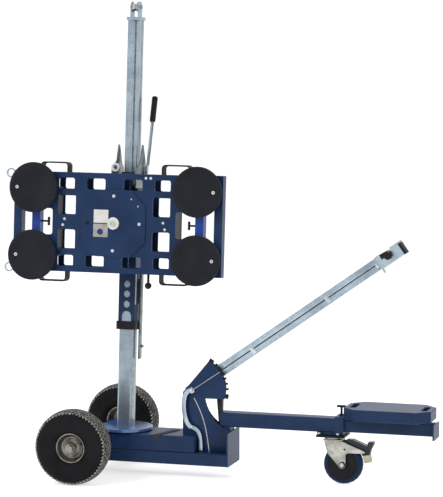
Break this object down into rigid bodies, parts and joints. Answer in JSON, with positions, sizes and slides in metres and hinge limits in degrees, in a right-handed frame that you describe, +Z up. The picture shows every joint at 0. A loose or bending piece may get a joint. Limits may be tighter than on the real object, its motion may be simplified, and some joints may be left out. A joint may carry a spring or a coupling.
{
  "type": "suction cup lifter",
  "caption": "Wheeled pull-along lifter with a leaning mast, a turning vacuum head with suction cups, a raised drawbar and a counterweight on a telescoping boom.",
  "frame": {"origin": "centre of the bounding box on the floor, under the chassis", "axes": "+Z up, +X along the chassis towards the caster and the counterweight, -Y towards the side the suction cups face"},
  "size_m": [1.7412, 0.741, 1.883],
  "materials": {
    "navy": "satin powder coat",
    "bright_blue": "satin powder coat",
    "zinc": "galvanised",
    "warm_zinc": "zinc plated",
    "steel": "bright",
    "rim": "silver paint",
    "tyre": "matt",
    "grip": "matt",
    "cup": "matt",
    "plastic": "matt",
    "caster_tread": "matt"
  },
  "bodies": {
    "base": {"chassis_frame": "navy", "deck_cover": "navy", "axle_beam": "navy", "axle_shaft": "steel", "boom_tube": "navy", "caster_plate": "plastic", "turntable_bearing": "steel", "turntable_kingpin": "steel", "upright_plate_near": "navy", "upright_plate_far": "navy", "drawbar_pivot_bolt": "steel", "toggle_stay": "zinc"},
    "wheel_near": {"tyre_near": "tyre", "rim_near": "rim"},
    "wheel_far": {"tyre_far": "tyre", "rim_far": "rim"},
    "mast": {"turntable_disc": "navy", "mast_tube": "zinc", "mast_profile": "zinc", "mast_cap": "zinc", "rope_sheave": "plastic"},
    "carriage": {"carriage_sleeve": "navy", "carriage_cheeks": "zinc", "guide_band": "plastic", "head_pivot": "steel"},
    "lever": {"hoist_lever_arm": "zinc", "hoist_lever_grip": "grip"},
    "head": {"head_front_plate": "navy", "head_rear_plate": "navy", "hub_plate": "navy", "arm_guide_left": "plastic", "arm_guide_right": "plastic", "handle_top_left": "plastic", "handle_top_right": "plastic", "handle_bottom_left": "plastic", "handle_bottom_right": "plastic", "battery": "plastic", "vacuum_pump": "steel"},
    "index_knob": {"index_plunger": "plastic"},
    "arm_left": {"arm_frame_left": "navy", "arm_inner_bar_left": "bright_blue", "cup_top_left": "cup", "cup_bottom_left": "cup"},
    "arm_right": {"arm_frame_right": "navy", "arm_inner_bar_right": "bright_blue", "cup_top_right": "cup", "cup_bottom_right": "cup"},
    "lock_left": {"arm_lock_left": "plastic"},
    "lock_right": {"arm_lock_right": "plastic"},
    "ballast": {"ballast_carrier": "navy", "counterweight": "navy"},
    "boom_lock": {"boom_lock_pin": "plastic"},
    "caster_fork": {"caster_fork": "warm_zinc", "caster_axle_bolt": "zinc"},
    "caster_wheel": {"caster_tread": "caster_tread", "caster_core": "plastic"},
    "pedal": {"brake_pedal": "plastic"},
    "drawbar": {"drawbar_profile": "zinc", "drawbar_head": "zinc"},
    "trigger": {"release_trigger": "grip"}
  },
  "joints": [
    {"name": "wheel_near_spin", "type": "hinge", "parent": "base", "child": "wheel_near", "pos_m": [-0.5231, -0.3135, 0.15], "axis": [0, 1, 0], "continuous": true},
    {"name": "wheel_far_spin", "type": "hinge", "parent": "base", "child": "wheel_far", "pos_m": [-0.5231, 0.3135, 0.15], "axis": [0, 1, 0], "continuous": true},
    {"name": "mast_swivel", "type": "hinge", "parent": "base", "child": "mast", "pos_m": [-0.4071, 0, 0.186], "axis": [0, 0, 1], "range_deg": [-180, 0]},
    {"name": "carriage_lift", "type": "slide", "parent": "mast", "child": "carriage", "axis": [0, 0.0924, 0.9957], "range_m": [-0.23, 0.45]},
    {"name": "lever_swing", "type": "hinge", "parent": "carriage", "child": "lever", "pos_m": [-0.3451, 0.0945, 1.2046], "axis": [1, 0, 0], "range_deg": [-35, 30]},
    {"name": "head_turn", "type": "hinge", "parent": "carriage", "child": "head", "pos_m": [-0.4071, 0.0756, 1.0005], "axis": [0, 0.9957, -0.0924], "range_deg": [-180, 180]},
    {"name": "index_pull", "type": "slide", "parent": "head", "child": "index_knob", "axis": [0, -0.0924, -0.9957], "range_m": [0, 0.008], "stiffness_N_per_m": 400, "springref_m": -0.005},
    {"name": "arm_left_slide", "type": "slide", "parent": "head", "child": "arm_left", "axis": [-1, 0, 0], "range_m": [0, 0.1]},
    {"name": "arm_right_slide", "type": "slide", "parent": "head", "child": "arm_right", "axis": [1, 0, 0], "range_m": [0, 0.1]},
    {"name": "lock_left_pull", "type": "slide", "parent": "arm_left", "child": "lock_left", "axis": [1, 0, 0], "range_m": [0, 0.008], "stiffness_N_per_m": 400, "springref_m": -0.005},
    {"name": "lock_right_pull", "type": "slide", "parent": "arm_right", "child": "lock_right", "axis": [-1, 0, 0], "range_m": [0, 0.008], "stiffness_N_per_m": 400, "springref_m": -0.005},
    {"name": "ballast_slide", "type": "slide", "parent": "base", "child": "ballast", "axis": [1, 0, 0], "range_m": [0, 0.15]},
    {"name": "boom_lock_pull", "type": "slide", "parent": "base", "child": "boom_lock", "axis": [0, 0, 1], "range_m": [0, 0.01], "stiffness_N_per_m": 400, "springref_m": -0.005},
    {"name": "caster_swivel", "type": "hinge", "parent": "base", "child": "caster_fork", "pos_m": [0.4534, 0, 0.1904], "axis": [0, 0, 1], "continuous": true},
    {"name": "caster_spin", "type": "hinge", "parent": "caster_fork", "child": "caster_wheel", "pos_m": [0.4974, 0, 0.08], "axis": [0, 1, 0], "continuous": true},
    {"name": "pedal_press", "type": "hinge", "parent": "caster_fork", "child": "pedal", "pos_m": [0.5154, 0, 0.1664], "axis": [0, 1, 0], "range_deg": [0, 3]},
    {"name": "drawbar_tilt", "type": "hinge", "parent": "base", "child": "drawbar", "pos_m": [-0.1171, 0, 0.35], "axis": [0, 1, 0], "range_deg": [-25, 30]},
    {"name": "trigger_squeeze", "type": "hinge", "parent": "drawbar", "child": "trigger", "pos_m": [0.6886, 0, 0.9253], "axis": [0, 1, 0], "range_deg": [-10, 0], "stiffness_Nm_per_rad": 2, "springref_deg": 5.73}
  ]
}
